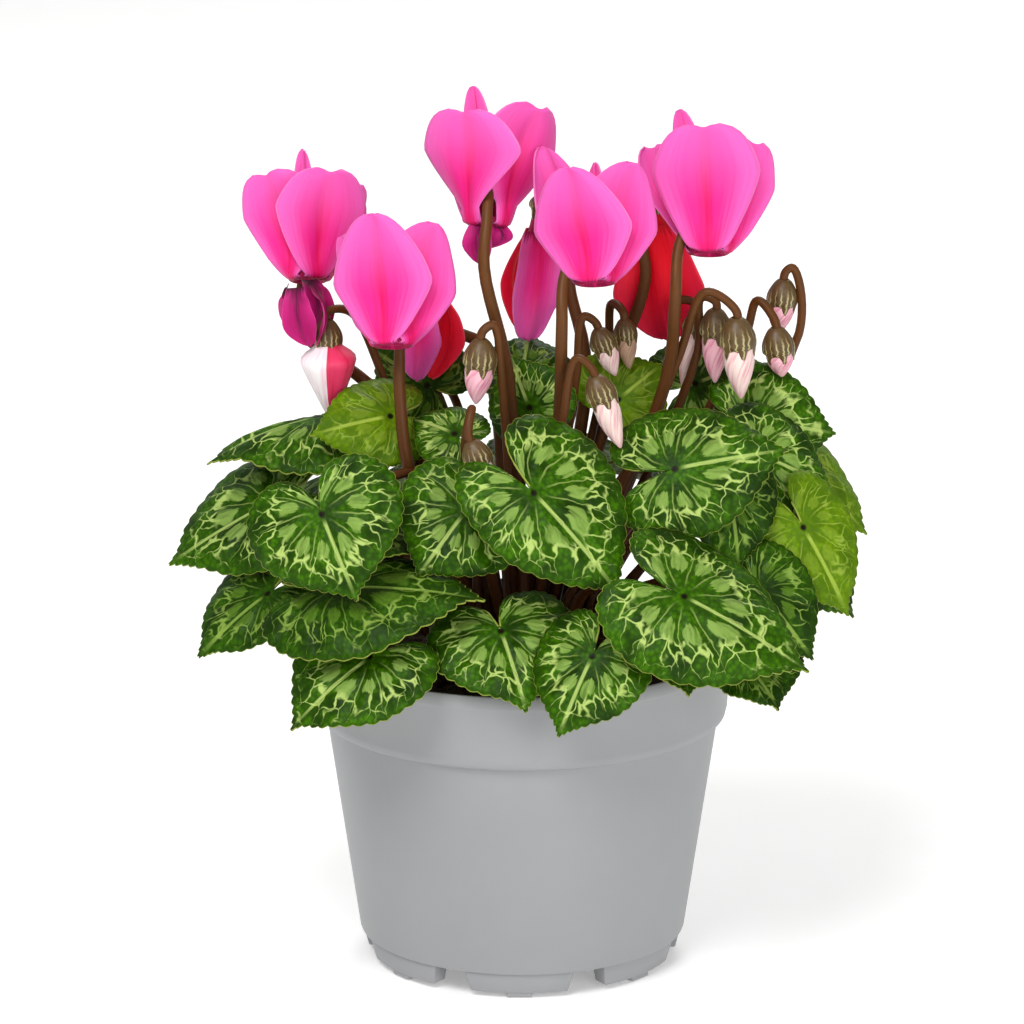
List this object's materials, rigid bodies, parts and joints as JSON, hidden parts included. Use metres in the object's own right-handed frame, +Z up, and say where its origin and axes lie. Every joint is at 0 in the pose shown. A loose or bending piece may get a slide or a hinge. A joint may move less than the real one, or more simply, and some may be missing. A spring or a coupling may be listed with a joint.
{
  "type": "potted cyclamen",
  "caption": "Florist's cyclamen in a tapered plastic nursery pot: marbled heart-shaped leaves, swept-back pink flowers and nodding buds on bare stalks rising from one tuber.",
  "frame": {"origin": "centre of the circle that the pot's feet stand on, which is also the middle of the whole box seen from above within 1 mm", "axes": "+Z up along the pot's axis, +X to the plant's right, -Y the front that the picture shows"},
  "size_m": [0.1967, 0.1659, 0.2521],
  "materials": {
    "pot": "satin",
    "soil": "matte",
    "stalks": "satin",
    "leaf": "satin",
    "petal_pink": "satin",
    "petal_red": "satin",
    "bud": "satin"
  },
  "bodies": {
    "root": {"pot": "pot", "soil": "soil", "leaf_front_left": "leaf", "leaf_front_centre": "leaf", "leaf_front_inner": "leaf", "leaf_front_right_upper": "leaf", "leaf_front_right": "leaf", "leaf_rim_centre": "leaf", "leaf_rim_inner": "leaf", "leaf_rim_left": "leaf", "leaf_left_wide": "leaf", "leaf_left_behind": "leaf", "leaf_left_low": "leaf", "leaf_left_mid": "leaf", "leaf_left_upper": "leaf", "leaf_left_fold": "leaf", "leaf_right_upper": "leaf", "leaf_right_second": "leaf", "leaf_right_olive": "leaf", "leaf_right_outer": "leaf", "leaf_right_pale": "leaf", "leaf_right_dark": "leaf", "leaf_right_low": "leaf", "leaf_rim_right": "leaf", "leaf_inner_front": "leaf", "leaf_top_left": "leaf", "leaf_top_left_front": "leaf", "leaf_top_pale": "leaf", "leaf_top_right": "leaf", "leaf_top_back": "leaf", "leaf_back_low_1": "leaf", "leaf_back_low_2": "leaf", "leaf_back_low_3": "leaf", "leaf_right_inner": "leaf", "leaf_back_mid_1": "leaf", "leaf_back_mid_2": "leaf", "leaf_back_mid_3": "leaf", "leaf_back_mid_4": "leaf", "leaf_back_top_1": "leaf", "leaf_back_top_2": "leaf", "flower_left": "petal_pink", "flower_front_left": "petal_pink", "flower_top": "petal_pink", "flower_centre": "petal_pink", "flower_right": "petal_pink", "flower_back_red": "petal_red", "flower_back_magenta": "petal_pink", "flower_back_left": "petal_pink", "bud_big_left": "bud", "bud_centre": "bud", "bud_low": "bud", "bud_front": "bud", "bud_back_centre": "bud", "bud_faded": "bud", "bud_right_inner": "bud", "bud_right_front": "bud", "bud_right_top": "bud", "bud_right_outer": "bud", "bud_pale": "bud", "tuber_and_stalks": "stalks"}
  },
  "joints": []
}
